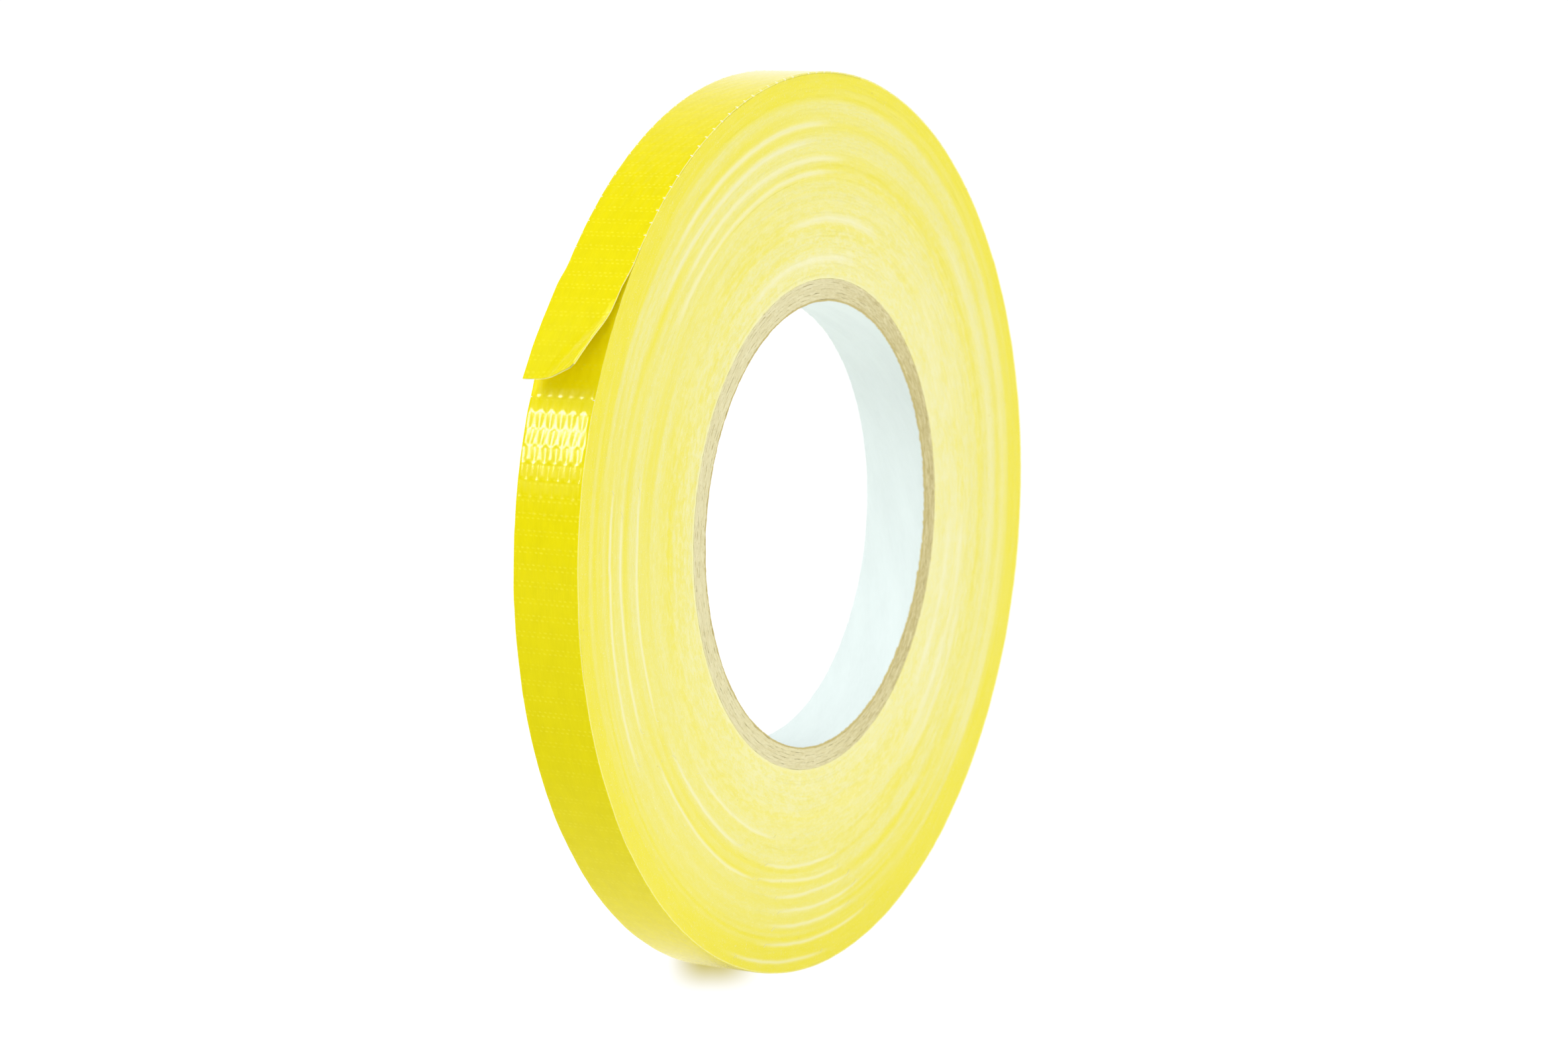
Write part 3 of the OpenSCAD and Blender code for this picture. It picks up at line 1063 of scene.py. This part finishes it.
def side_fibres():
    """Short cotton ends that lie on the side faces."""
    random = np.random.default_rng(200)
    count = 240
    for name, sign in (("front_side_fibres", -1), ("back_side_fibres", 1)):
        radius = np.sqrt(random.uniform((CORE_R + 0.5) ** 2, (OUTER_R - 0.6) ** 2, count))
        angle = random.uniform(0, 2 * math.pi, count)
        heading = random.normal(math.pi / 2, 0.5, count)
        length = random.uniform(0.2, 0.7, count)
        share = np.linspace(-0.5, 0.5, 5)[None, :]
        bow = random.normal(0, 0.12, count)[:, None] * (0.25 - share ** 2)
        reach = length[:, None] * share
        x = (radius * np.cos(angle))[:, None] + reach * np.cos(heading)[:, None] + bow
        z = (radius * np.sin(angle))[:, None] + reach * np.sin(heading)[:, None]
        y = sign * (HALF_WIDTH + 0.02 + 0.05 * (1 - 4 * share ** 2))
        thickness = random.uniform(0.012, 0.03, count)[:, None] * (1.2 - 1.2 * np.abs(share))
        paths = np.stack(np.broadcast_arrays(x, y, z), axis=-1)
        points, faces = swept(tubes(paths, thickness, sides=4))
        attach(make_piece(name, points, faces, FIBRE, "tape_cloth"), "roll")


def arc_threads():
    """A curl of loose thread on the front face, at each end of the narrow pale arcs."""
    share = np.linspace(0, 1, 14)
    paths, thickness = [], []
    narrow = [arc for arc in PALE_ARCS if arc[1] <= THREAD_WIDTH]
    for k, (arc_r, _, first, last) in enumerate(narrow):
        for angle, way in ((first, 1), (last, -1)):
            length = 1.6 + 0.8 * math.sin(5 * k + way)
            along = np.radians(angle) + way * length / arc_r * share
            radius = arc_r + 0.12 * noise_1d(share * 4 + 7 * k, 211) + 0.6 * way * (1 - share) ** 3
            y = -(HALF_WIDTH + 0.04 * (1 - share))
            paths.append(wall_place(radius, along, y))
            thickness.append(0.045 * (1 - 0.6 * share ** 2))
    points, faces = swept(tubes(np.array(paths), np.array(thickness), sides=8))
    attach(make_piece("front_arc_threads", points, faces, FIBRE, "tape_cloth"), "roll")


# ------------ stage, light and camera

def direction(azimuth, elevation):
    """Unit vector from the object towards a viewer."""
    return np.array([math.sin(azimuth) * math.cos(elevation), -math.cos(azimuth) * math.cos(elevation),
                     math.sin(elevation)])


def aim(thing, away, distance, at=(0, 0, 0)):
    """Puts a light or a camera along a direction from a point, and turns it towards that point."""
    away = Vector(away).normalized()
    thing.location = (Vector(at) + away * distance) * MM
    thing.rotation_euler = away.to_track_quat("Z", "Y").to_euler()


def add_camera():
    data = bpy.data.cameras.new("camera")
    data.lens = 91.06
    data.sensor_width = 36
    data.clip_start = 0.01
    camera = add_object("camera", data)
    aim(camera, direction(VIEW_AZIMUTH, VIEW_ELEVATION), VIEW_DISTANCE, VIEW_AIM)
    focus = add_object("focus", None)
    focus.location = Vector((-0.8 * OUTER_R, 0, 0)) * MM
    data.dof.use_dof = True
    data.dof.focus_object = focus
    data.dof.aperture_fstop = 36
    bpy.context.scene.camera = camera


def add_light(name, away, distance, size, power, mirrored=True, height=None, scattered=True):
    """Soft round light, or an upright oval one when it has a height. It may be seen only in reflections."""
    data = bpy.data.lights.new(name, "AREA")
    data.shape = "ELLIPSE"
    data.size = size * MM
    data.size_y = (height or size) * MM
    data.energy = power
    light = add_object(name, data)
    light.visible_glossy = mirrored
    light.visible_diffuse = scattered
    aim(light, away, distance)


def add_floor():
    half = 3.0
    mesh = bpy.data.meshes.new("floor")
    mesh.from_pydata([(-half, -half, 0), (half, -half, 0), (half, half, 0), (-half, half, 0)],
                     [], [(0, 1, 2, 3)])
    mesh.materials.append(floor_material())
    floor = add_object("floor", mesh)
    floor.location.z = CAD_BOX[0].z - 0.0001


# Brightness of the surroundings
HORIZON_LIGHT = 0.36
ZENITH_LIGHT = 1.10


def add_world():
    """White surroundings, brighter overhead. In reflections they are bright only behind the object, so that
    the film keeps its colour."""
    world = bpy.data.worlds.new("studio")
    bpy.context.scene.world = world
    world.use_nodes = True
    tree = world.node_tree
    background = tree.nodes["Background"]
    outward = node(tree, "TexCoord").outputs["Generated"]
    sky = remap(tree, component(tree, outward, "Z"), 0.0, 1.0, HORIZON_LIGHT, ZENITH_LIGHT)
    facing = along_axis(tree, outward, tuple(-direction(VIEW_AZIMUTH, VIEW_ELEVATION)))
    mirrored = remap(tree, facing, 0.2, 0.9, 0.08, 1.1)
    rays = node(tree, "LightPath").outputs
    for ray, strength in (("Is Glossy Ray", mirrored), ("Is Camera Ray", 1.05)):
        sky = node(tree, "Mix", {0: rays[ray], 2: sky, 3: strength}).outputs[0]
    background.inputs["Color"].default_value = (1, 1, 1, 1)
    tree.links.new(sky, background.inputs["Strength"])


def make_stage():
    add_camera()
    add_floor()
    add_world()
    add_light("left_back_light", (-0.78, 0.506, 0.37), 913, 110, 1.7, height=190, scattered=False)
    add_light("left_back_glow", (-0.79, 0.49, 0.37), 950, 420, 0.3)
    add_light("top_light", (-0.56, 0.40, 0.72), 900, 500, 3.5, mirrored=False)
    add_light("front_fill", (-0.25, -0.90, 0.34), 900, 600, 1.7, mirrored=False)
    bpy.context.scene.view_settings.view_transform = "Standard"


# ------------ build

make_outer_turn()
make_peel_stretches()
make_loose_end()
half_way = math.ceil(TURNS) // 2
wound_part("wound_turns_outer", 0, half_way)
wound_part("wound_turns_inner", half_way, math.ceil(TURNS))
make_core()
side_fibres()
arc_threads()
make_stage()
